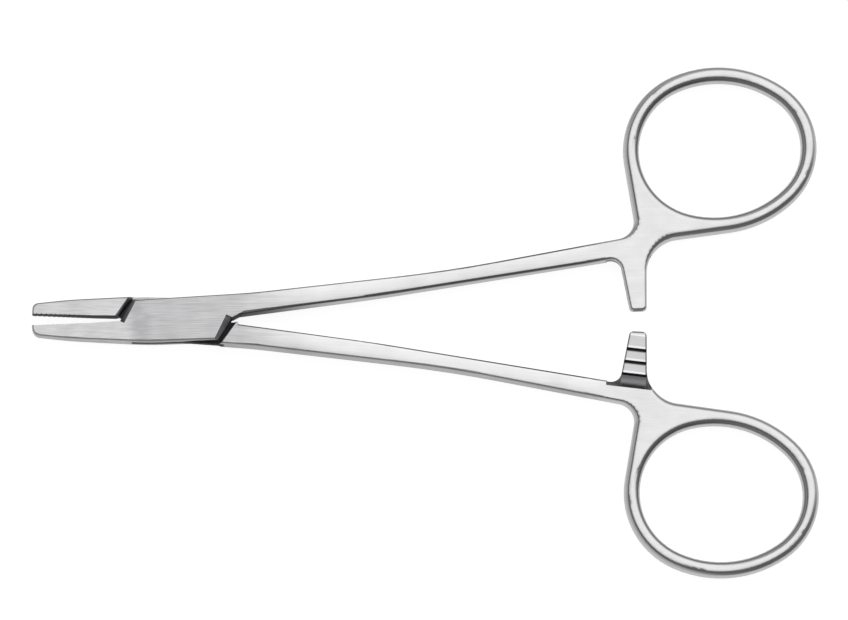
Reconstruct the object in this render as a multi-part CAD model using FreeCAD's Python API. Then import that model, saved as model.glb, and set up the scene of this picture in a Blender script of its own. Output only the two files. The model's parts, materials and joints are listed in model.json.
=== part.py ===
"""Surgical needle holder: two forged halves that cross in a box lock on one pin.

Each half is drawn closed, with its shank on the +Y side and its jaw on the -Y side.
The tongue half is then mirrored, and both are turned about the pin to the pose at rest.
Frame: the origin is on the pin's axis at the back face of the box, +X runs to the rings,
+Y to the slotted half's ring and +Z to the front.
"""
import FreeCAD
import Part
import math
import os

# Pose at rest: the angle between the halves, counted from touching jaw tips.
REST_OPENING = 4.45

# Box lock.
BOX_HALF_WIDTH = 3.5
BOX_THICKNESS = 4.2
BOX_FLAT_JAW_SIDE = 3.6
BOX_FLAT_SHANK_SIDE = 8.0
JAW_ROOT_HALF_WIDTH = 3.3
SLOT_THICKNESS = 1.8
TONGUE_CLEARANCE = 0.05
TONGUE_RADIUS = 7.9
TONGUE_END_GAP = 0.2
TONGUE_ROOT_GAP = 0.1
TONGUE_ROOT_STEP = 0.15
SHOULDER_LEAN = 33.0
JAW_SHOULDER = 7.8
SHANK_SHOULDER = 7.5
JAW_SHOULDER_SLOPE = 0.75
SHANK_SHOULDER_SLOPE = 0.45
CHEEK_LEAN = 34.5
JAW_CHEEK_GAP = 0.2
SHANK_CHEEK_GAP = 0.35
CHEEK_CHAMFER = 0.5
CHAMFER_LEAN = 28.0
PIN_RADIUS = 1.1
PIN_CLEARANCE = 0.04

# Jaws: their outer edge by its distance from the closed centre line.
JAW_LENGTH = 23.1
JAW_TIP_THICKNESS = 2.6
JAW_BACK_X = 5.0
JAW_FRONT_RUN = 5.8
JAW_FRONT_WIDTH = 2.47
NOSE_WIDTH = 1.65
SLOTTED_NOSE_RADIUS = 1.25
TONGUE_NOSE_RADIUS = 1.0
JAW_FACE_GAP = 0.02
JAW_HEEL_X = 13.6
JAW_HEEL_RELIEF = 0.08
HEEL_RISE = 0.05
HEEL_GAP = 0.14
SERRATION_PITCH = 0.75
SERRATION_DEPTH = 0.13
SERRATION_ANGLE = 80.0

# Shanks: where their edges start, bend and end, counted from the closed centre line.
SHANK_INNER_START_X = 9.6
SHANK_INNER_START_Y = 0.42
SHANK_INNER_BEND_X = 32.0
SHANK_INNER_BEND_Y = 2.52
SHANK_ROOT_X = 11.4
SHANK_ROOT_Y = 3.77
SHANK_OUTER_BEND_X = 42.4
SHANK_OUTER_BEND_Y = 6.15
SHANK_END_X = 66.5
SHANK_END_OFFSET = 6.74
SHANK_END_WIDTH = 3.05
SHANK_END_THICKNESS = 3.2

# Ratchet legs.
LEG_TIP_X = 71.7
LEG_TIP_WIDTH = 2.65
LEG_ROOT_X = 70.35
LEG_ROOT_WIDTH = 4.4
LEG_REACH = 1.35
LEG_TIP_CORNER = 0.7
LEG_INNER_CORNER = 1.8
LEG_RING_CORNER = 5.5
LEG_CUT_START = 2.1
LEG_CUT_LEAN = 4.4
TOOTH_COUNT = 3
TOOTH_PITCH = 2.04
TOOTH_DEPTH = 0.42
TOOTH_CREST = 0.25
TOOTH_DROP = 0.35
TOOTH_BITE = 0.2
TOOTH_CLEARANCE = 0.05
FIRST_TOOTH = 1.1
ROOT_RAMP_RADIUS = 2.25

# Finger rings: egg-shaped ovals of four arcs, widest a little towards the shank.
RING_X = 87.05
RING_Y = 24.25
HOLE_HALF_LENGTH = 12.9
HOLE_HALF_WIDTH = 10.85
HOLE_SIDE_EASE = 3.0
WIDEST_SHIFT = 0.6
RING_TURN = 2.6
BAR_WIDTH = 2.52
WEB_HEIGHT = 9.6
WEB_INSET = 1.6
WEB_CORNER = 3.0

# Rounding of the long edges.
BOX_ROUND = 0.35
ROOT_ROUND = 0.45
SHANK_ROUND = 0.55
LEG_ROUND = 0.55
RING_ROUND = 1.2

# Radii of the gentle bends along the halves, seen from the front and from the side.
SHANK_ROOT_BEND = 120.0
SHANK_BEND = 240.0
JAW_BEND = 60.0
JAW_TAPER_BEND = 60.0
SHANK_TAPER_BEND = 150.0
RING_TAPER_BEND = 400.0

MID_Z = BOX_THICKNESS / 2
MARGIN = 5.0


def point(x, y, z=0.0):
    return FreeCAD.Vector(x, y, z)


def line(a, b):
    return Part.LineSegment(a, b).toShape()


def rounded_path(points, radii):
    """Straight runs through the points, with an arc of the given radius at each inner one."""
    edges = []
    reached = points[0]
    for before, corner, after, radius in zip(points, points[1:], points[2:], radii):
        back = (before - corner).normalize()
        onward = (after - corner).normalize()
        half_angle = back.getAngle(onward) / 2
        run = radius / math.tan(half_angle)
        start = corner + back * run
        end = corner + onward * run
        bisector = (back + onward).normalize()
        middle = corner + bisector * (radius / math.sin(half_angle) - radius)
        edges.append(line(reached, start))
        edges.append(Part.Arc(start, middle, end).toShape())
        reached = end
    edges.append(line(reached, points[-1]))
    return edges


def stretch(points, bends, rounds):
    """Straight runs joined by arcs, as (edge, rounding at its start, rounding at its end).

    Each run has one rounding radius, and each arc leads from its run's radius to the next.
    """
    sides = []
    for number, edge in enumerate(rounded_path(points, bends)):
        run = number // 2
        sides.append((edge, rounds[run], rounds[run + number % 2]))
    return sides


def sharp(points):
    """Straight runs whose edges stay sharp."""
    return [(line(a, b), None, None) for a, b in zip(points, points[1:])]


def ring_arcs(offset):
    """The four arcs of an oval round the finger hole, each as (centre, radius, start, end)."""
    half_length = HOLE_HALF_LENGTH + offset
    half_width = HOLE_HALF_WIDTH + offset
    side_radius = half_length + HOLE_SIDE_EASE
    side_y = side_radius - half_width
    end_radii = []
    joints = []
    for reach in (half_length + WIDEST_SHIFT, half_length - WIDEST_SHIFT):
        across = side_radius ** 2 - side_y ** 2 - reach ** 2
        end_radius = across / (2 * (side_radius - reach))
        end_radii.append(end_radius)
        joints.append(math.degrees(math.atan2(side_y, reach - end_radius)))
    far, near = joints
    bounds = [-far, far, 180 - near, 180 + near, 360 - far]
    centres = [point(half_length - end_radii[0], 0), point(-WIDEST_SHIFT, -side_y)]
    centres += [point(end_radii[1] - half_length, 0), point(-WIDEST_SHIFT, side_y)]
    radii = [end_radii[0], side_radius, end_radii[1], side_radius]
    arcs = []
    for centre, radius, start, end in zip(centres, radii, bounds, bounds[1:]):
        turn = FreeCAD.Rotation(point(0, 0, 1), RING_TURN)
        centre = turn.multVec(centre) + point(RING_X, RING_Y)
        arcs.append((centre, radius, start + RING_TURN, end + RING_TURN))
    return arcs


def share_of(x, a, b):
    """Where x lies on the line from a to b: 0 at a and 1 at b."""
    return (x - a.x) / (b.x - a.x)


def on_circle(centre, radius, degrees):
    angle = math.radians(degrees)
    return centre + point(radius * math.cos(angle), radius * math.sin(angle))


def arc_side(centre, radius, start, end):
    """An arc between two angles, with the ring's rounding."""
    places = [on_circle(centre, radius, degrees) for degrees in (start, (start + end) / 2, end)]
    return (Part.Arc(*places).toShape(), RING_ROUND, RING_ROUND)


def touching_angle(centre, radius, place, side):
    """Angle on a circle where a straight line from a place outside touches it."""
    away = place - centre
    angle = math.degrees(math.atan2(away.y, away.x))
    return angle % 360 + side * math.degrees(math.acos(radius / away.Length))


def shank_and_ring(start, box_edge):
    """Sides from the shank's inner edge round the leg and the ring to the box's upper edge."""
    inner_bend = point(SHANK_INNER_BEND_X, SHANK_INNER_BEND_Y)
    inner_end = point(SHANK_END_X, SHANK_END_OFFSET)
    outer_bend = point(SHANK_OUTER_BEND_X, SHANK_OUTER_BEND_Y)
    outer_end = point(SHANK_END_X, SHANK_END_OFFSET + SHANK_END_WIDTH)
    leg_corner = inner_bend + (inner_end - inner_bend) * share_of(LEG_ROOT_X, inner_bend, inner_end)
    web_x = RING_X - HOLE_HALF_LENGTH - BAR_WIDTH + WEB_INSET
    web_corner = outer_bend + (outer_end - outer_bend) * share_of(web_x, outer_bend, outer_end)
    leg_outer = point(LEG_ROOT_X + LEG_ROOT_WIDTH, WEB_HEIGHT)
    right, top, left, bottom = ring_arcs(BAR_WIDTH)
    joins_at = touching_angle(bottom[0], bottom[1], leg_outer, 1)
    leaves_at = touching_angle(left[0], left[1], web_corner, -1)

    path = [start, inner_bend, leg_corner]
    path.append(point(LEG_TIP_X, -LEG_REACH))
    path.append(point(LEG_TIP_X + LEG_TIP_WIDTH, -LEG_REACH))
    path.append(leg_outer)
    path.append(on_circle(bottom[0], bottom[1], joins_at))
    bends = [SHANK_BEND, LEG_INNER_CORNER, LEG_TIP_CORNER, LEG_TIP_CORNER, LEG_RING_CORNER]
    rounds = [ROOT_ROUND, SHANK_ROUND, LEG_ROUND, LEG_ROUND, LEG_ROUND, RING_ROUND]
    sides = stretch(path, bends, rounds)

    sides.append(arc_side(bottom[0], bottom[1], joins_at, bottom[3]))
    sides.append(arc_side(*right))
    sides.append(arc_side(*top))
    sides.append(arc_side(left[0], left[1], left[2], leaves_at))

    path = [on_circle(left[0], left[1], leaves_at), web_corner, outer_bend]
    path.append(point(SHANK_ROOT_X, SHANK_ROOT_Y))
    path.append(box_edge)
    bends = [WEB_CORNER, SHANK_BEND, SHANK_ROOT_BEND]
    rounds = [RING_ROUND, SHANK_ROUND, ROOT_ROUND, BOX_ROUND]
    sides.extend(stretch(path, bends, rounds))
    return sides


def wall_x(offset, lean, y):
    """Where a line at this distance from the pivot, leaning from the Y axis, is at height y."""
    lean = math.radians(lean)
    return (offset - y * math.sin(lean)) / math.cos(lean)


def jaw_sides(heel, nose_radius, low_right):
    """Sides of the jaw from the heel along its face, round the nose and back to the box's end."""
    relief = point(-JAW_HEEL_X, -JAW_HEEL_RELIEF)
    tip = point(-JAW_LENGTH, -JAW_FACE_GAP)
    sides = sharp([heel, relief, tip])
    path = [tip]
    path.append(point(-JAW_LENGTH, -NOSE_WIDTH))
    path.append(point(JAW_FRONT_RUN - JAW_LENGTH, -JAW_FRONT_WIDTH))
    path.append(point(-JAW_BACK_X, -BOX_HALF_WIDTH))
    path.append(low_right)
    bends = [nose_radius, JAW_BEND, JAW_BEND]
    sides.extend(stretch(path, bends, [BOX_ROUND] * 4))
    return sides


def slotted_sides():
    """Outline of the half with the slot; its cheeks reach across the box to both corners."""
    jaw_cheek = JAW_SHOULDER - JAW_CHEEK_GAP
    shank_cheek = SHANK_SHOULDER - SHANK_CHEEK_GAP
    start = point(SHANK_INNER_START_X, SHANK_INNER_START_Y)
    top_left = point(-wall_x(jaw_cheek, CHEEK_LEAN, JAW_ROOT_HALF_WIDTH), JAW_ROOT_HALF_WIDTH)
    heel = point(-wall_x(jaw_cheek, CHEEK_LEAN, HEEL_RISE), HEEL_RISE)
    low_right = point(wall_x(shank_cheek, CHEEK_LEAN, BOX_HALF_WIDTH), -BOX_HALF_WIDTH)
    crotch = point(wall_x(shank_cheek, CHEEK_LEAN, HEEL_RISE), -HEEL_RISE)
    sides = shank_and_ring(start, top_left)
    sides.extend(sharp([top_left, heel]))
    sides.extend(jaw_sides(heel, SLOTTED_NOSE_RADIUS, low_right))
    sides.extend(sharp([low_right, crotch, start]))
    return sides


def tongue_sides():
    """Outline of the half with the tongue, before its two free ends are cut to arcs."""
    start = point(SHANK_INNER_START_X, SHANK_INNER_START_Y)
    heel_y = HEEL_RISE + HEEL_GAP
    heel = point(-wall_x(JAW_SHOULDER, SHOULDER_LEAN, heel_y), -heel_y)
    top_left = point(heel.x, JAW_ROOT_HALF_WIDTH - TONGUE_ROOT_STEP)
    low_right = point(SHANK_INNER_START_X, -BOX_HALF_WIDTH)
    sides = shank_and_ring(start, top_left)
    sides.extend(sharp([top_left, heel]))
    sides.extend(jaw_sides(heel, TONGUE_NOSE_RADIUS, low_right))
    sides.extend(sharp([low_right, start]))
    return sides


def side_profile():
    """Thickness seen from the side: jaw taper, flat box, gentle shank taper, flat rings."""
    far = RING_X + HOLE_HALF_LENGTH + BAR_WIDTH + MARGIN
    box = BOX_THICKNESS / 2
    ring = SHANK_END_THICKNESS / 2
    tip = JAW_TIP_THICKNESS / 2
    taper = (box - tip) / (JAW_LENGTH - BOX_FLAT_JAW_SIDE)
    halves = []
    for side in (1, -1):
        points = [point(-JAW_LENGTH - MARGIN, 0, MID_Z + side * (tip - taper * MARGIN))]
        points.append(point(-BOX_FLAT_JAW_SIDE, 0, MID_Z + side * box))
        points.append(point(BOX_FLAT_SHANK_SIDE, 0, MID_Z + side * box))
        points.append(point(SHANK_END_X, 0, MID_Z + side * ring))
        points.append(point(far, 0, MID_Z + side * ring))
        bends = [JAW_TAPER_BEND, SHANK_TAPER_BEND, RING_TAPER_BEND]
        edges = rounded_path(points, bends)
        halves.append((points, edges))
    (top, top_edges), (bottom, bottom_edges) = halves
    right = line(top[-1], bottom[-1])
    left = line(bottom[0], top[0])
    face = Part.Face(Part.Wire(top_edges + [right] + bottom_edges[::-1] + [left]))
    width = 2 * (RING_Y + HOLE_HALF_WIDTH + BAR_WIDTH + MARGIN)
    face.translate(point(0, -width / 2, 0))
    return face.extrude(point(0, width, 0))


def side_under(place, sides):
    """The side of the outline that a place lies above, or None."""
    flat = Part.Vertex(place.x, place.y, 0)
    for side in sides:
        if side[0].distToShape(flat)[0] < 0.005:
            return side
    return None


def rounding_at(place, side):
    """Rounding radius at a place along one side of the outline."""
    edge, start, end = side
    along = edge.Curve.parameter(point(place.x, place.y))
    share = (along - edge.FirstParameter) / (edge.LastParameter - edge.FirstParameter)
    return start + (end - start) * min(1.0, max(0.0, share))


def is_upright(edge):
    first = edge.Vertexes[0].Point
    last = edge.Vertexes[-1].Point
    return math.hypot(first.x - last.x, first.y - last.y) < 0.001


def ordered_chains(edges):
    """Edges that follow each other, as lists of (edge number, first point, last point)."""
    loose = {}
    for number, edge in edges.items():
        loose[number] = (edge.Vertexes[0].Point, edge.Vertexes[-1].Point)

    def meeting(place):
        return [key for key, ends in loose.items() if min((end - place).Length for end in ends) < 0.001]

    chains = []
    while loose:
        free = [key for key, ends in loose.items() if min(len(meeting(end)) for end in ends) == 1]
        number = free[0] if free else min(loose)
        first, last = loose[number]
        if free and len(meeting(first)) > 1:
            first, last = last, first
        chain = []
        while number is not None:
            chain.append((number, first, last))
            del loose[number]
            following = meeting(last)
            number = following[0] if following else None
            if following:
                ends = loose[number]
                near_first = (ends[0] - last).Length < 0.001
                first, last = ends if near_first else (ends[1], ends[0])
        chains.append(chain)
    return chains


def round_edges(solid, sides):
    """Round each long edge, with a radius that changes along it."""
    chosen = {}
    below = {}
    for number, edge in enumerate(solid.Edges, start=1):
        middle = edge.valueAt((edge.FirstParameter + edge.LastParameter) / 2)
        side = side_under(middle, sides)
        if side and side[1] and not is_upright(edge):
            chosen[number] = edge
            below[number] = side
    radii = []
    for chain in ordered_chains(chosen):
        for number, first, last in chain:
            side = below[number]
            radii.append((number, rounding_at(last, side), rounding_at(first, side)))
    document = FreeCAD.newDocument()
    blank = document.addObject("Part::Feature", "blank")
    blank.Shape = solid
    rounding = document.addObject("Part::Fillet", "rounding")
    rounding.Base = blank
    rounding.Edges = radii
    document.recompute()
    rounded = rounding.Shape.copy()
    FreeCAD.closeDocument(document.Name)
    return rounded.Solids[0]


def blank_half(sides):
    hole = [arc_side(*arc) for arc in ring_arcs(0)]
    outer_face = Part.Face(Part.Wire([side[0] for side in sides]))
    face = outer_face.cut(Part.Face(Part.Wire([side[0] for side in hole]))).Faces[0]
    solid = face.extrude(point(0, 0, BOX_THICKNESS + 1))
    solid.translate(point(0, 0, -0.5))
    solid = solid.common(side_profile()).Solids[0]
    return round_edges(solid, sides + hole)


def serrations():
    """Fine grooves across the jaw's face, as one shape to cut away."""
    half_angle = math.radians(SERRATION_ANGLE / 2)
    count = int((JAW_LENGTH - JAW_HEEL_X) / SERRATION_PITCH)
    rise = HEEL_RISE + HEEL_GAP
    half_width = (rise + JAW_FACE_GAP + SERRATION_DEPTH) * math.tan(half_angle)
    grooves = []
    for number in range(count):
        x = -JAW_LENGTH + (number + 1) * SERRATION_PITCH
        corners = [point(x, -JAW_FACE_GAP - SERRATION_DEPTH)]
        corners.append(point(x + half_width, rise))
        corners.append(point(x - half_width, rise))
        face = Part.Face(Part.makePolygon(corners + corners[:1]))
        grooves.append(face.extrude(point(0, 0, BOX_THICKNESS)))
    return Part.makeCompound(grooves)


def tooth_profile(side):
    """Working face of a ratchet leg, as (y, z) points from the tip to the root ramp's foot."""
    slope = TOOTH_DEPTH / (TOOTH_PITCH - TOOTH_CREST - TOOTH_DROP)
    crest = TOOTH_CLEARANCE - TOOTH_BITE / 2
    tip_y = -LEG_REACH - MARGIN
    first_crest_y = FIRST_TOOTH - TOOTH_CREST
    points = [(tip_y, crest + slope * (first_crest_y - tip_y))]
    for number in range(TOOTH_COUNT):
        drop_y = FIRST_TOOTH + number * TOOTH_PITCH
        points.append((drop_y - TOOTH_CREST, crest))
        points.append((drop_y, crest))
        points.append((drop_y + TOOTH_DROP, crest + TOOTH_DEPTH))
    return [point(0, y, MID_Z + side * depth) for y, depth in points]


def leg_cut(side):
    """What is cut away behind a ratchet leg: everything past its working face."""
    points = tooth_profile(side)
    foot = points[-1]
    far_z = MID_Z - side * (BOX_THICKNESS + MARGIN)
    edges = [line(a, b) for a, b in zip(points, points[1:])]
    bend = ROOT_RAMP_RADIUS * (1 - math.sqrt(0.5))
    middle = foot + point(0, ROOT_RAMP_RADIUS * math.sqrt(0.5), -side * bend)
    ramp_end = foot + point(0, ROOT_RAMP_RADIUS, -side * ROOT_RAMP_RADIUS)
    edges.append(Part.Arc(foot, middle, ramp_end).toShape())
    past = point(0, ramp_end.y, far_z)
    tip_past = point(0, points[0].y, far_z)
    edges.append(line(ramp_end, past))
    edges.append(line(past, tip_past))
    edges.append(line(tip_past, points[0]))
    face = Part.Face(Part.Wire(edges))
    start_x = LEG_ROOT_X - LEG_CUT_START
    tool = face.extrude(point(RING_X - HOLE_HALF_LENGTH / 3 - start_x, 0, 0))
    tool.rotate(point(0, ramp_end.y, 0), point(0, 0, 1), LEG_CUT_LEAN)
    tool.translate(point(start_x, 0, 0))
    return tool


def leaning_prism(profile, lean, start, end):
    """Prism along a line that leans from the Y axis; profile points are (distance, z)."""
    lean = math.radians(lean)
    across = point(math.cos(lean), math.sin(lean))
    along = point(-math.sin(lean), math.cos(lean))
    points = []
    for distance, z in profile:
        points.append(across * distance + point(0, 0, z) + along * start)
    face = Part.Face(Part.makePolygon(points + points[:1]))
    return face.extrude(along * (end - start))


def slotted_half():
    solid = blank_half(slotted_sides())
    low = MID_Z - SLOT_THICKNESS / 2
    radius = TONGUE_RADIUS + TONGUE_END_GAP
    slot = Part.makeCylinder(radius, SLOT_THICKNESS, point(0, 0, low))
    edge_y = HEEL_RISE - TONGUE_ROOT_GAP
    reach = JAW_SHOULDER + 3
    upper_left = Part.makeBox(reach, BOX_HALF_WIDTH, SLOT_THICKNESS, point(-reach, edge_y, low))
    lower_right = Part.makeBox(reach, BOX_HALF_WIDTH, SLOT_THICKNESS,
                               point(0, -edge_y - BOX_HALF_WIDTH, low))
    solid = solid.cut(slot).cut(upper_left).cut(lower_right)
    cheeks = ((-1, JAW_SHOULDER - JAW_CHEEK_GAP), (1, SHANK_SHOULDER - SHANK_CHEEK_GAP))
    for end, offset in cheeks:
        for side in (1, -1):
            face_z = MID_Z + side * BOX_THICKNESS / 2
            inner = offset - CHEEK_CHAMFER
            profile = [(end * (inner - 1), face_z + side)]
            profile.append((end * (offset + 2), face_z + side))
            profile.append((end * (offset + 2), face_z - side * (CHEEK_CHAMFER + 2)))
            heel_x = wall_x(offset, CHEEK_LEAN, HEEL_RISE)
            lean = math.radians(CHAMFER_LEAN)
            heel_run = heel_x * math.sin(lean) - HEEL_RISE * math.cos(lean)
            chamfer = leaning_prism(profile, -CHAMFER_LEAN, end * heel_run, -end * BOX_THICKNESS)
            solid = solid.cut(chamfer)
    solid = solid.cut(Part.makeCylinder(PIN_RADIUS, BOX_THICKNESS + 2, point(0, 0, -1)))
    solid = solid.cut(leg_cut(1)).cut(serrations())
    return solid.Solids[0]


def tongue_half():
    solid = blank_half(tongue_sides())
    tongue = SLOT_THICKNESS / 2 - TONGUE_CLEARANCE
    reach = 2 * TONGUE_RADIUS
    rise = BOX_THICKNESS / 2 - tongue
    for side in (1, -1):
        base_z = MID_Z + side * tongue
        top_z = base_z + side * 2 * rise
        profile = [(-JAW_SHOULDER, base_z)]
        profile.append((SHANK_SHOULDER, base_z))
        profile.append((SHANK_SHOULDER + 2 * SHANK_SHOULDER_SLOPE, top_z))
        profile.append((-JAW_SHOULDER - 2 * JAW_SHOULDER_SLOPE, top_z))
        solid = solid.cut(leaning_prism(profile, SHOULDER_LEAN, -reach, reach))
    round_end = Part.makeCylinder(TONGUE_RADIUS, BOX_THICKNESS + 2, point(0, 0, -1))
    upper_left = Part.makeBox(reach, reach, BOX_THICKNESS + 2, point(-reach, -HEEL_RISE, -1))
    lower_right = Part.makeBox(reach, reach, BOX_THICKNESS + 2, point(0, HEEL_RISE - reach, -1))
    solid = solid.cut(upper_left.cut(round_end)).cut(lower_right.cut(round_end))
    bore = PIN_RADIUS + PIN_CLEARANCE
    solid = solid.cut(Part.makeCylinder(bore, BOX_THICKNESS + 2, point(0, 0, -1)))
    solid = solid.cut(leg_cut(-1)).cut(serrations())
    return solid.Solids[0].mirror(point(0, 0, 0), point(0, 1, 0))


def turned(solid, degrees):
    """The solid turned about the pin's axis."""
    solid = solid.copy()
    solid.rotate(point(0, 0, 0), point(0, 0, 1), degrees)
    return solid


def main():
    parts = {}
    parts["slotted_half"] = turned(slotted_half(), REST_OPENING / 2)
    parts["tongue_half"] = turned(tongue_half(), -REST_OPENING / 2)
    parts["pivot_pin"] = Part.makeCylinder(PIN_RADIUS, BOX_THICKNESS)
    os.makedirs("parts", exist_ok=True)
    for name, shape in parts.items():
        shape.exportStep("parts/" + name + ".step")
        box = shape.BoundBox
        print(name, shape.isValid(), len(shape.Solids), round(shape.Volume, 2),
              round(box.XMin, 2), round(box.XMax, 2), round(box.YMin, 2), round(box.YMax, 2),
              round(box.ZMin, 3), round(box.ZMax, 3))


main()
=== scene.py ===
# %% [markdown]
# # A surgical needle holder
# The finished CAD model is loaded as a fixed frame: two forged halves and the pin that joins
# them. This lesson gives the forgings the finish of ground stainless steel, lays the instrument
# on a white table and looks down on it as the photograph does. Every length is in metres.

# %% Load the frame
import json
import math

import bpy
from mathutils import Matrix, Vector


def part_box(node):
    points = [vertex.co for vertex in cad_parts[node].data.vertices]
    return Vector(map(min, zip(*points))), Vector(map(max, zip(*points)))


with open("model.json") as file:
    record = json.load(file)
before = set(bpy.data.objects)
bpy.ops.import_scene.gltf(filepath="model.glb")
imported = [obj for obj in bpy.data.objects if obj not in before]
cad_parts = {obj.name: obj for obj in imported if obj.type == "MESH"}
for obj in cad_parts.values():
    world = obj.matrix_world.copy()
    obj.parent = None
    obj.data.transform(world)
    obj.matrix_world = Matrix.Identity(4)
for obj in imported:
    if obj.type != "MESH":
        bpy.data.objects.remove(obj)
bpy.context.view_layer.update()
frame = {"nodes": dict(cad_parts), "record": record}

# %% [markdown]
# ## Where the camera stands
# A catalogue photographs an instrument from almost straight above with a long lens, so the
# perspective is weak. The camera leans nine degrees towards the lower ring, which shows the
# walls that face it. It could be placed by eye in the viewport. Here it is built from an angle, a
# distance and the length that one pixel of the photograph covers, because those can be fitted to
# the photograph one by one, and the lens follows from them.

# %% Camera
PHOTO_WIDTH = 848
METRES_PER_PIXEL = 0.0001586
CAMERA_DISTANCE = 1.2
CAMERA_ELEVATION = math.radians(81)
CAMERA_ROLL = math.radians(0.1)
LOOK_AT = Vector((0.03903, 0.0018, 0.0021))


def place_camera():
    """A camera that looks down on the instrument, with the frame of the photograph."""
    back = Vector((0, -math.cos(CAMERA_ELEVATION), math.sin(CAMERA_ELEVATION)))
    level = Vector((1, 0, 0))
    across = level * math.cos(CAMERA_ROLL) + back.cross(level) * math.sin(CAMERA_ROLL)
    upward = back.cross(across)
    bpy.ops.object.camera_add()
    camera = bpy.context.object
    camera.name = "camera"
    turn = Matrix((across, upward, back)).transposed()
    camera.matrix_world = Matrix.Translation(LOOK_AT + back * CAMERA_DISTANCE) @ turn.to_4x4()
    lens = camera.data
    lens.lens = lens.sensor_width * CAMERA_DISTANCE / (PHOTO_WIDTH * METRES_PER_PIXEL)
    bpy.context.scene.camera = camera
    print("lens in mm:", round(lens.lens, 1))


place_camera()

# %% [markdown]
# ## Arithmetic on sockets
# A finish is a sum of small patterns: grain along the grinding direction, a little mottling, a
# smoother band along each rounded edge. They could be wired by hand in the shader editor, but so
# many nodes are hard to read there. Written as formulas they stay readable, so a small class
# wraps a socket and turns each sign of a Python expression into one Math node. A function adds
# any other node from its type, its settings and its inputs.

# %% Socket arithmetic
SHARP_EDGE = 0.0001


def add_node(tree, kind, inputs, settings=None, output=0):
    """Add a shader node, fill its inputs by name or number, and return one of its outputs."""
    node = tree.nodes.new(kind)
    for name, value in (settings or {}).items():
        setattr(node, name, value)
    for key, value in inputs.items():
        if isinstance(value, Value):
            tree.links.new(value.socket, node.inputs[key])
        else:
            node.inputs[key].default_value = value
    return Value(tree, node.outputs[output])


class Value:
    """A number, vector or colour that is worked out at each point of a surface."""

    def __init__(self, tree, socket):
        self.tree = tree
        self.socket = socket

    def maths(self, operation, first, second=0.0):
        return add_node(self.tree, "ShaderNodeMath", {0: first, 1: second}, {"operation": operation})

    def __add__(self, other):
        return self.maths("ADD", self, other)

    def __radd__(self, other):
        return self.maths("ADD", other, self)

    def __sub__(self, other):
        return self.maths("SUBTRACT", self, other)

    def __rsub__(self, other):
        return self.maths("SUBTRACT", other, self)

    def __mul__(self, other):
        return self.maths("MULTIPLY", self, other)

    def __rmul__(self, other):
        return self.maths("MULTIPLY", other, self)

    def __abs__(self):
        return self.maths("ABSOLUTE", self)

    def larger(self, other):
        return self.maths("MAXIMUM", self, other)

    def smaller(self, other):
        return self.maths("MINIMUM", self, other)

    def root(self):
        return self.maths("SQRT", self)

    def floor(self):
        return self.maths("FLOOR", self)

    def between(self, low, high):
        """0 below low, 1 above high and a smooth step in between."""
        inputs = {"Value": self, "From Min": low, "From Max": high}
        return add_node(self.tree, "ShaderNodeMapRange", inputs, {"interpolation_type": "SMOOTHSTEP"})

    def past(self, place):
        """0 before a place and 1 after it, with a sharp edge."""
        return self.between(place - SHARP_EDGE, place)

    def axes(self):
        """The three numbers of a vector."""
        split = add_node(self.tree, "ShaderNodeSeparateXYZ", {"Vector": self})
        return [Value(self.tree, output) for output in split.socket.node.outputs]

    def feed(self, shader, name):
        """Link this value to an input of a shader."""
        self.tree.links.new(self.socket, shader.inputs[name])


print("a Value has", [name for name in vars(Value) if not name.startswith("_")])

# %% [markdown]
# ## A point on a half
# Each half is one forging, and at rest it is turned about the pin by half the opening. Its belt
# lines follow its own length, so patterns are worked out with that turn taken off: X runs along
# the centre line that the halves share when the jaws are closed. A UV map would do this too, but
# Object coordinates need no unwrapping and stay with the piece when the joint moves it.
#
# The normal tells flats from rounded edges and walls, and X tells the jaws, the box, the shank
# and the ring apart. Each of these is a mask, and a pair of numbers, such as FLAT_FACING, says
# where it starts to rise and where it is full. Noise that is stretched along X gives the belt
# lines, and broader noise the mottling.

# %% A point on a half
CLOSED_ANGLE = frame["record"]["behaviour"]["joints"][0]["range_deg"][0]
HALF_TURN = math.radians(-CLOSED_ANGLE / 2)
BOX_START = -0.0088
BOX_END = 0.0095
BOX_BLEND = 0.002
BOX_FADE = 0.014
SHANK_FADE = 0.01
RING_ROOT = (0.064, 0.070)
FLAT_FACING = (0.93, 0.995)
WALL_FACING = (0.3, 0.6)
LINE_SIZE = (0.007, 0.00012, 0.00012)
MOTTLING_SIZE = (0.003, 0.0022, 0.0022)
NOISE_DETAIL = 2.0


def grain(point, sizes):
    """Noise from 0 to 1 whose spots have the given sizes along, across and through the half."""
    scale = [1 / size for size in sizes]
    stretched = add_node(point.tree, "ShaderNodeMapping", {"Vector": point, "Scale": scale})
    inputs = {"Vector": stretched, "Scale": 1.0, "Detail": NOISE_DETAIL}
    return add_node(point.tree, "ShaderNodeTexNoise", inputs)


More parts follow.
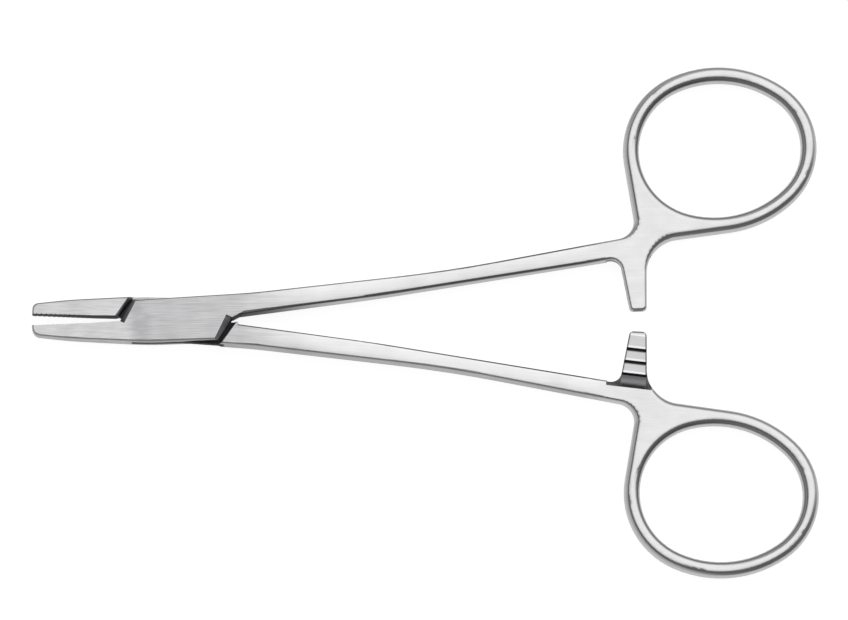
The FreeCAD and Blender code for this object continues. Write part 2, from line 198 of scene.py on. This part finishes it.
class Half:
    """What the masks need at each point of the half with its ring to +Y (side 1) or -Y (-1)."""

    def __init__(self, tree, side):
        self.side = side
        place = add_node(tree, "ShaderNodeTexCoord", {}, output="Object")
        turn = (0, 0, -side * HALF_TURN)
        self.point = add_node(tree, "ShaderNodeMapping", {"Vector": place, "Rotation": turn})
        self.x, self.y, self.z = self.point.axes()
        self.outward = self.y * side
        normal = add_node(tree, "ShaderNodeTexCoord", {}, output="Normal")
        self.sideways, upward = normal.axes()[1:]
        self.upward = abs(upward)
        self.flat = self.upward.between(*FLAT_FACING)
        self.wall = 1 - self.upward.between(*WALL_FACING)
        self.jaws = 1 - self.x.between(BOX_START - BOX_BLEND, BOX_START + BOX_BLEND)
        self.box = (1 - self.jaws) * (1 - self.x.between(BOX_END - BOX_BLEND, BOX_END + BOX_FADE))
        self.rings = self.x.between(*RING_ROOT)
        self.shank = self.x.between(BOX_END, BOX_END + SHANK_FADE) * (1 - self.rings)
        self.lines = grain(self.point, LINE_SIZE)
        self.mottling = grain(self.point, MOTTLING_SIZE)


print("each half is turned by", round(math.degrees(HALF_TURN), 3), "degrees at rest")

# %% [markdown]
# ## Painted shade in the slot and between the jaws
# The walls of the slot are darkened with painted shade, since little light reaches deep into it,
# and made rougher. The grooved grip faces of the jaws are darkened too, partly for their grooves
# and partly as painted shade of the narrow gap between the closed jaws. They could get a material
# of their own, face by face, but the CAD mesh is kept as it is. So each place is a mask: a number
# from 0 to 1, worked out from where the point lies, that stays put when the half turns. On the
# slotted half the lower jaw is left out, because its outer wall lies at the same depth as the slot
# and stays bright.

# %% Slot and grip faces
lowest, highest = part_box("pivot_pin")
MIDDLE_Z = (lowest.z + highest.z) / 2
SLOT_WALL = (0.0009, 0.0016)
SHOULDER_SLOPE = 0.69
JOINT_END = (0.0098, 0.0102)
OUTER_WALL = (0.0029, 0.0031)
BOX_WIDENING = 0.0003
WIDENING_RUN = (0.0, 0.005)
JAW_HEEL = (-0.0065, -0.006)
LOWER_JAW = (-0.001, -0.0005)
JAW_ROOT = (-0.0086, -0.0083)
GRIP_DEPTH = (0.0004, 0.00052)


def painted_slot_shade(half):
    """1 deep in the slot, where painted shade darkens it, and 0 at the front and back of the box and on
    its outer walls.
    """
    depth = 1 - abs(half.z - MIDDLE_Z).between(*SLOT_WALL)
    along = 1 - abs(half.x - half.y * SHOULDER_SLOPE).between(*JOINT_END)
    reach = half.y
    if half.side > 0:
        reach = abs(half.y) - BOX_WIDENING * half.x.between(*WIDENING_RUN)
        along = along * half.x.between(*JAW_HEEL).larger(half.y.between(*LOWER_JAW))
    return depth * along * (1 - reach.between(*OUTER_WALL))


def grip_face_and_gap_shade(half):
    """1 on the grooved face of the jaw, along the closed centre line: its grooves, with painted shade of
    the jaw gap.
    """
    jaw = 1 - half.x.between(*JAW_ROOT)
    return jaw * half.wall * (1 - abs(half.y).between(*GRIP_DEPTH))


print("middle of the thickness in mm:", round(MIDDLE_Z * 1000, 3))

# %% [markdown]
# ## Along the shanks and round the rings
# A shank carries painted light: its colour is lighter at the long edge that faces +Y, where the
# soft light leans, and darker towards the other edge, so a mask needs to know how far across it a
# point lies. The shank's inner edge could be read from the mesh, but two straight lines follow it
# closely enough. The inner wall next to the box is darkened with painted shade, for the crotch
# between the shank and the box. On a ring the side that faces the finger hole is told from the
# outer side by an ellipse along the middle of its bar.

# %% Shanks and rings
SHANK_START = (0.0096, 0.00042)
SHANK_BEND = (0.032, 0.00252)
SHANK_END = (0.0665, 0.00674)
SHANK_WIDTH = 0.0031
CROTCH_WALL = (0.0008, 0.0012)
CROTCH_START = (0.0070, 0.0085)
CROTCH_END = (0.012, 0.030)
RING_CENTRE = (0.08705, 0.02425)
RING_MIDDLE_RADII = (0.01416, 0.01211)
RING_MIDDLE = (0.96, 1.04)


def line_through(x, first, second):
    """The height at x of the straight line through two points."""
    slope = (second[1] - first[1]) / (second[0] - first[0])
    return first[1] + (x - first[0]) * slope


def across_shank(half):
    """0 at the long edge of a shank that faces +Y, and 1 at its other edge."""
    near = line_through(half.x, SHANK_START, SHANK_BEND)
    far = line_through(half.x, SHANK_BEND, SHANK_END)
    share = (half.outward - near.larger(far)) * (1 / SHANK_WIDTH)
    share = share.between(0.0, 1.0)
    return 1 - share if half.side > 0 else share


def painted_crotch_shade(half):
    """1 on the inner wall of a shank next to the box, where painted shade darkens the crotch."""
    height = half.outward - line_through(half.x, SHANK_START, SHANK_BEND)
    inner = 1 - height.between(*CROTCH_WALL)
    along = half.x.between(*CROTCH_START) * (1 - half.x.between(*CROTCH_END))
    return half.wall * inner * along


def ring_outside(half):
    """0 on the side of a ring's bar that faces the hole and 1 on its outer side."""
    along = (half.x - RING_CENTRE[0]) * (1 / RING_MIDDLE_RADII[0])
    across = (half.outward - RING_CENTRE[1]) * (1 / RING_MIDDLE_RADII[1])
    return (along * along + across * across).root().between(*RING_MIDDLE)


print("the inner edge of a shank bends at x in mm:", SHANK_BEND[0] * 1000)

# %% [markdown]
# ## The ratchet
# Each leg carries three teeth, cut across it, with a hollow beside each crest and a ramp at the
# root. Light and shade are painted into their colour: the working face gets painted shade, each
# crest a painted highlight, and each hollow and the ramp darker painted shade. The teeth lie in a
# frame that leans a little against the leg. They could be three patterns side by side. Here the
# reach is counted in tooth pitches, and taking off the whole part of the count repeats one
# pattern on all three. A painted dark line follows the leg's edges, as in the photograph, for the
# dark room mirrored in their rounded edges.

# %% Ratchet
CUT_START_X = 0.06825
CUT_END_X = 0.0755
CUT_LEAN = math.radians(4.4)
CUT_DEPTH = (-0.0012, -0.0010)
FIRST_TOOTH = 0.0011
TOOTH_START = FIRST_TOOTH - 0.0003
TOOTH_COUNT = 3
TOOTH_PITCH = 0.00204
TOOTH_DROP = 0.00035
RAMP_LENGTH = 0.00225
LAST_TOOTH = FIRST_TOOTH + (TOOTH_COUNT - 1) * TOOTH_PITCH
RAMP_START = LAST_TOOTH + TOOTH_DROP
RAMP_END = RAMP_START + RAMP_LENGTH
HOLLOW = (0.17, 0.34)
CREST = (0.82, 0.87)
LEG_TIP = -0.00135
LEG_LEFT_EDGE = ((LEG_TIP, 0.0717), (0.0072, 0.07035))
LEG_RIGHT_EDGE = ((LEG_TIP, 0.07435), (0.01005, 0.07475))
RIM = (0.0001, 0.0003)
RIM_DARK = 0.85
HOLLOW_DARK = 0.95
RAMP_DARK = 0.8
RAMP_FADE = 0.6


def tooth_reach(half):
    """How far out from the centre line a point lies, measured square to the teeth."""
    away = (half.x - CUT_START_X) * math.sin(CUT_LEAN)
    return RAMP_END + (half.outward - RAMP_END) * math.cos(CUT_LEAN) - away


def milled_face(half, reach):
    """1 on the working face of the leg and on the walls beside it."""
    across = half.x.past(CUT_START_X) * (1 - half.x.past(CUT_END_X))
    depth = ((half.z - MIDDLE_Z) * -half.side).between(*CUT_DEPTH)
    return across * (1 - reach.past(RAMP_END)) * depth


def leg_rim(half):
    """1 along the edges of the leg; its sides run through (outward, x) points."""
    from_left = half.x - line_through(half.outward, *LEG_LEFT_EDGE)
    from_right = line_through(half.outward, *LEG_RIGHT_EDGE) - half.x
    from_edge = from_left.smaller(from_right).smaller(half.outward - LEG_TIP)
    return 1 - from_edge.between(*RIM)


def ratchet(half):
    """Masks for the milled leg: where it is milled, its crests for a painted highlight and its painted
    shade.
    """
    reach = tooth_reach(half)
    milled = milled_face(half, reach)
    step = (reach - FIRST_TOOTH) * (1 / TOOTH_PITCH)
    step = step - step.floor()
    toothed = reach.past(TOOTH_START) * (1 - reach.past(RAMP_START + SHARP_EDGE))
    hollow = (1 - step.between(*HOLLOW)) * toothed
    crest = step.between(*CREST) * (1 - reach.past(LAST_TOOTH))
    ramp = reach.past(RAMP_START) * (1 - RAMP_FADE * reach.between(RAMP_START, RAMP_END))
    # Painted shade: a dark line along the leg's rim for the dark room mirrored there, and darker hollows
    # and ramp.
    dark = (leg_rim(half) * RIM_DARK).larger(hollow * HOLLOW_DARK).larger(ramp * RAMP_DARK)
    return milled, crest, milled * dark


print("teeth in mm from the centre line:",
      [round((FIRST_TOOTH + number * TOOTH_PITCH) * 1000, 2) for number in range(TOOTH_COUNT)])

# %% [markdown]
# ## The colour of ground steel
# The base colour of a metal tints what it mirrors. Satin ground steel scatters part of the light
# away, most where the belt lines are deep, so the box and the jaws look greyer than the shanks
# and rings. A colour for each region with seams between them would be simple, but the real
# finish fades. So one number, the shade, adds up the share of each region and its grain, and
# picks a colour between bright and dull steel. It also carries painted light: a painted gradient
# across each shank, lighter at its edge that faces +Y, and painted shade and painted highlights
# on the teeth of the ratchet.

# %% Shade
BRIGHT_STEEL = (0.86, 0.86, 0.865)
DULL_STEEL = (0.50, 0.50, 0.51)
NOISE_MIDDLE = 0.5
LINE_CONTRAST = (0.3, 0.7)
BELT_SIZE = (0.012, 0.0007, 0.0007)
SMUDGE_X = -0.0058
SMUDGE_REACH = (0.0005, 0.0022)
SMUDGE_SPOTS = (0.15, 0.6)
SHANK_RIM = (0.75, 1.0)
BASE_SHADE = 0.1
BOX_SHADE = 0.66
JAW_SHADE = 0.56
RING_SHADE = 0.26
SHANK_PAINTED_SHADE = 0.4
SHANK_RIM_PAINTED_SHADE = 0.2
LINE_SHADE = 0.06
BOX_LINE_SHADE = 0.32
JAW_LINE_SHADE = 0.2
BELT_SHADE = 0.1
MOTTLING_SHADE = 0.25
SMUDGE_SHADE = 0.3
# Painted shade of the teeth's working face and painted highlight of their crests.
TEETH_PAINTED_SHADE = 0.45
CREST_PAINTED_HIGHLIGHT = 0.7
SHADE_RANGE = (-0.2, 1.2)


def steel_shade(half, across, milled, crest):
    """Near 0 for BRIGHT_STEEL and near 1 for DULL_STEEL, with the grain of each region and painted light
    on shanks and teeth.
    """
    lines = half.lines.between(*LINE_CONTRAST) - NOISE_MIDDLE
    belts = grain(half.point, BELT_SIZE) - NOISE_MIDDLE
    by_slit = 1 - abs(half.x - SMUDGE_X).between(*SMUDGE_REACH)
    smudge = by_slit * half.mottling.between(*SMUDGE_SPOTS) * half.flat
    shade = BOX_SHADE * half.box + JAW_SHADE * half.jaws + RING_SHADE * half.rings
    # Painted light: each shank is lighter at its edge that faces +Y, darker towards the other edge and
    # darkest along it.
    shade = shade + half.shank * (SHANK_PAINTED_SHADE * across + SHANK_RIM_PAINTED_SHADE * across.between(*SHANK_RIM))
    shade = shade + lines * (LINE_SHADE + BOX_LINE_SHADE * half.box + JAW_LINE_SHADE * half.jaws)
    shade = shade + belts * BELT_SHADE + (half.mottling - NOISE_MIDDLE) * MOTTLING_SHADE
    shade = shade + smudge * SMUDGE_SHADE + BASE_SHADE
    # Painted shade on the working face of the teeth, and a painted highlight on each crest.
    return shade + milled * (TEETH_PAINTED_SHADE - CREST_PAINTED_HIGHLIGHT * crest)


print("shade of the box before its grain:", round(BOX_SHADE + BASE_SHADE, 2))

# %% [markdown]
# ## Dark lines along the edges
# In the photograph a thin dark line follows each rounded edge, where it mirrors the dark part of
# the room. The room's reflection gives only a part of such a narrow line, so the colour is
# darkened there too. The normal says where: it finds a rounding wherever it runs, which a drawn
# outline would not. The line is strong on the edges that face +Y, and on a ring it is stronger
# beside the finger hole than outside.

# %% Edge lines
# Painted shade, painted reflection lines and the grooved grip faces all darken towards this colour.
SHADE_AND_DARK_STEEL = (0.035, 0.035, 0.04)
CROTCH_DARK = 0.85
TURNED_AWAY = (0.8, 0.93)
FAR_FACING = (0.02, 0.15)
FAR_SIDE = (0.1, 0.4)
FAR_LINE = 0.65
FAR_LINE_GAIN = 0.25
FAR_GAIN_RUN = (0.03, 0.06)
NEAR_FACING = (0.1, 0.3)
NEAR_SIDE = (-0.4, -0.1)
NEAR_LINE = 0.6
SHOULDER_TOP = (0.7, 0.97)
SHOULDER_FOOT = (0.4, 0.75)
RING_LINE = 0.75
RING_OUTSIDE_LOSS = 0.6
RING_FAR_GAIN = 0.45
RING_FAR_SIDE = (0.0, 0.4)


def edge_lines(half):
    """How dark the thin line along each rounded edge is, from 0 to 1."""
    turned_away = 1 - half.upward.between(*TURNED_AWAY)
    far = turned_away * half.upward.between(*FAR_FACING) * half.sideways.between(*FAR_SIDE)
    far = far * (1 - half.rings) * (FAR_LINE + FAR_LINE_GAIN * half.x.between(*FAR_GAIN_RUN))
    shoulder = (1 - half.upward.between(*SHOULDER_TOP)) * half.upward.between(*SHOULDER_FOOT)
    loss = RING_OUTSIDE_LOSS - RING_FAR_GAIN * half.sideways.between(*RING_FAR_SIDE)
    lines = far + shoulder * half.rings * (RING_LINE - ring_outside(half) * loss)
    if half.side > 0:
        near = turned_away * half.upward.between(*NEAR_FACING) * half.shank
        lines = lines + near * (1 - half.sideways.between(*NEAR_SIDE)) * NEAR_LINE
    return lines


def darkness(half, painted_teeth_shade):
    """All dark places of a half together, from 0 to 1: painted shade, painted edge reflections and
    grooved grip faces.
    """
    # Painted shade of the slot, the jaw gap and the crotch, with the grooves of the grip faces.
    recess_shade_and_grooves = painted_slot_shade(half).larger(grip_face_and_gap_shade(half)).larger(painted_crotch_shade(half) * CROTCH_DARK)
    return recess_shade_and_grooves.larger(painted_teeth_shade.larger(edge_lines(half)))


print("strongest edge line:", FAR_LINE + FAR_LINE_GAIN)

# %% [markdown]
# ## Satin and polish
# The belt leaves the flats satin, and the soft wheel that rounds the edges also polishes them, so
# they mirror their surroundings in narrow stripes. Two materials would need a seam along every
# edge. Instead the roughness falls from satin to polished as the surface turns away from the
# flat, and the belt lines stand in a very shallow bump, deeper on the box.

# %% Roughness and relief
SATIN_ROUGHNESS = 0.30
BOX_ROUGHNESS = 0.06
LINE_ROUGHNESS = 0.14
MOTTLING_ROUGHNESS = 0.08
POLISHED_ROUGHNESS = 0.15
RING_ROUGHNESS = 0.07
DARK_ROUGHNESS = 0.2
SOFT_EDGE = 1.3
SOFT_SHANK_SIDE = (0.5, 0.7)
LINE_RELIEF = 0.3
BOX_RELIEF = 0.7
RELIEF_DEPTH = 0.00001
RELIEF_STRENGTH = 0.35


def steel_roughness(half, across, dark):
    """Satin on the flats, the box and the jaws, and polished on the other rounded edges."""
    satin = SATIN_ROUGHNESS + BOX_ROUGHNESS * half.box + (half.lines - NOISE_MIDDLE) * LINE_ROUGHNESS
    satin = satin + (half.mottling - NOISE_MIDDLE) * MOTTLING_ROUGHNESS
    polished = POLISHED_ROUGHNESS + RING_ROUGHNESS * half.rings
    share = half.flat.larger(half.box.larger(half.jaws) * SOFT_EDGE)
    if half.side < 0:
        share = share.larger(half.shank * across.between(*SOFT_SHANK_SIDE) * SOFT_EDGE)
    return polished + (satin - polished) * share + dark * DARK_ROUGHNESS


def belt_relief(half):
    """The normal of a surface with belt lines on its flats."""
    height = half.lines * (LINE_RELIEF + BOX_RELIEF * half.box) * half.flat
    inputs = {"Height": height, "Distance": RELIEF_DEPTH, "Strength": RELIEF_STRENGTH}
    return add_node(height.tree, "ShaderNodeBump", inputs)


print("roughness from", POLISHED_ROUGHNESS, "to", SATIN_ROUGHNESS + BOX_ROUGHNESS)

# %% [markdown]
# ## Dressing the pieces
# The two halves get the same finish from one function, each with its own turn and side. The pin
# is ground flush together with the box, so it takes the slotted half's steel and its lines run on
# without a break. The CAD pieces keep their meshes, and only their material slots change.

# %% Steel
MIX_SHARE = 0
MIX_FIRST_COLOUR = 6
MIX_SECOND_COLOUR = 7
MIX_COLOUR_RESULT = 2


def colour_mix(share, first, second):
    """A colour between two others; each is a colour in numbers or another Value."""
    first, second = [colour if isinstance(colour, Value) else (*colour, 1) for colour in (first, second)]
    inputs = {MIX_SHARE: share, MIX_FIRST_COLOUR: first, MIX_SECOND_COLOUR: second}
    settings = {"data_type": "RGBA"}
    return add_node(share.tree, "ShaderNodeMix", inputs, settings, output=MIX_COLOUR_RESULT)


def steel(name, side):
    """Ground steel for the half whose ring lies to +Y (side 1) or to -Y (side -1) of the jaws."""
    material = bpy.data.materials.new(name)
    material.use_nodes = True
    shader = material.node_tree.nodes["Principled BSDF"]
    half = Half(material.node_tree, side)
    across = across_shank(half)
    milled, crest, painted_teeth_shade = ratchet(half)
    shade = steel_shade(half, across, milled, crest).between(*SHADE_RANGE)
    dark = darkness(half, painted_teeth_shade)
    colour = colour_mix(shade, BRIGHT_STEEL, DULL_STEEL)
    # Painted shade, painted reflection lines and the grooved grip faces darken the colour here.
    colour_mix(dark, colour, SHADE_AND_DARK_STEEL).feed(shader, "Base Color")
    steel_roughness(half, across, dark).feed(shader, "Roughness")
    belt_relief(half).feed(shader, "Normal")
    shader.inputs["Metallic"].default_value = 1.0
    print(name, "has", len(material.node_tree.nodes), "nodes")
    return material


def dress(node, material):
    """Give every material slot of a CAD node the same finish."""
    materials = frame["nodes"][node].data.materials
    for slot in range(len(materials)):
        materials[slot] = material


slotted_steel = steel("steel_slotted_half", 1)
dress("slotted_half", slotted_steel)
dress("tongue_half", steel("steel_tongue_half", -1))
dress("pivot_pin", slotted_steel)

# %% [markdown]
# ## The table
# The table is white in the photograph, and the steel's walls mirror it. A white floor in strong
# light would brighten the steel from below, so the floor glows for the rays that come from the
# camera, less for those that the steel mirrors, and not at all for scattered light. Its own
# colour is a plain grey that keeps the soft shadow under the instrument.

# %% Table
TABLE_SIZE = 6.0
TABLE_COLOUR = (0.3, 0.3, 0.3, 1)
TABLE_ROUGHNESS = 0.9
WHITE = (1, 1, 1, 1)
TABLE_GLOW = 0.9
TABLE_IN_STEEL = 0.6


def ray_kind(tree, name):
    """1 for rays of one kind, and 0 for all others."""
    return add_node(tree, "ShaderNodeLightPath", {}, output=name)


def table_glow(tree):
    """Full for what the camera sees, less for what the steel mirrors, 0 for scattered light."""
    direct = ray_kind(tree, "Is Camera Ray") + TABLE_IN_STEEL * ray_kind(tree, "Is Glossy Ray")
    return (direct + ray_kind(tree, "Is Transmission Ray")) * TABLE_GLOW


def lay_table():
    """A large plane under the instrument."""
    bpy.ops.object.select_all(action="DESELECT")
    bpy.ops.mesh.primitive_plane_add(size=TABLE_SIZE, location=(LOOK_AT.x, 0, 0))
    table = bpy.context.object
    table.name = "table"
    material = bpy.data.materials.new("white_table")
    material.use_nodes = True
    shader = material.node_tree.nodes["Principled BSDF"]
    shader.inputs["Base Color"].default_value = TABLE_COLOUR
    shader.inputs["Roughness"].default_value = TABLE_ROUGHNESS
    shader.inputs["Specular IOR Level"].default_value = 0.0
    shader.inputs["Emission Color"].default_value = WHITE
    table_glow(material.node_tree).feed(shader, "Emission Strength")
    table.data.materials.append(material)
    print("table size in metres:", tuple(round(side, 2) for side in table.dimensions))


lay_table()

# %% [markdown]
# ## The room
# Polished steel shows what stands round it. A large soft light hangs above the table and leans
# to +Y, and the room beyond it is dark, with paler walls near the table: the flats mirror the
# light, the shoulders of the edges the dark, and the steep sides the walls. Area lamps and panels
# could stand there, but a glow worked out from the direction fades evenly from one to the other.

# %% Room
LIGHT_LEAN = math.radians(14)
LIGHT_REACH = math.radians(38)
LIGHT_EDGE = math.radians(22)
LIGHT_SIDE = (0.2, 0.9)
LIGHT_SIDE_REACH = 0.35
ROOM_LIGHT = 1.16
ROOM_DARK = 0.12
ROOM_WALLS = 0.6
WALL_TOP = (0.35, 0.62)
CORNER = (0.3, 0.9)
DARK_CORNER = 0.75
DIAGONAL = math.sqrt(0.5)


def room_glow(direction):
    """How bright the room is in a direction."""
    x, y, z = direction.axes()
    facing = y * math.sin(LIGHT_LEAN) + z * math.cos(LIGHT_LEAN)
    facing = facing + ((x + y) * DIAGONAL).between(*LIGHT_SIDE) * LIGHT_SIDE_REACH
    lit = facing.between(math.cos(LIGHT_REACH), math.cos(LIGHT_EDGE))
    corner = ((x - y) * DIAGONAL).between(*CORNER)
    walls = ROOM_WALLS * (1 - DARK_CORNER * corner) - ROOM_DARK
    room = ROOM_DARK + walls * (1 - z.between(*WALL_TOP))
    return room + (ROOM_LIGHT - room) * lit


def light_room():
    """A world that is white for the camera and the room for everything else."""
    world = bpy.data.worlds.new("room")
    bpy.context.scene.world = world
    world.use_nodes = True
    tree = world.node_tree
    background = tree.nodes["Background"]
    glow = room_glow(add_node(tree, "ShaderNodeTexCoord", {}, output="Generated"))
    strength = glow + (1 - glow) * ray_kind(tree, "Is Camera Ray")
    strength.feed(background, "Strength")
    background.inputs["Color"].default_value = WHITE
    print("room from", ROOM_DARK, "to", ROOM_LIGHT)


light_room()
bpy.context.scene.view_settings.view_transform = "Standard"

# %% [markdown]
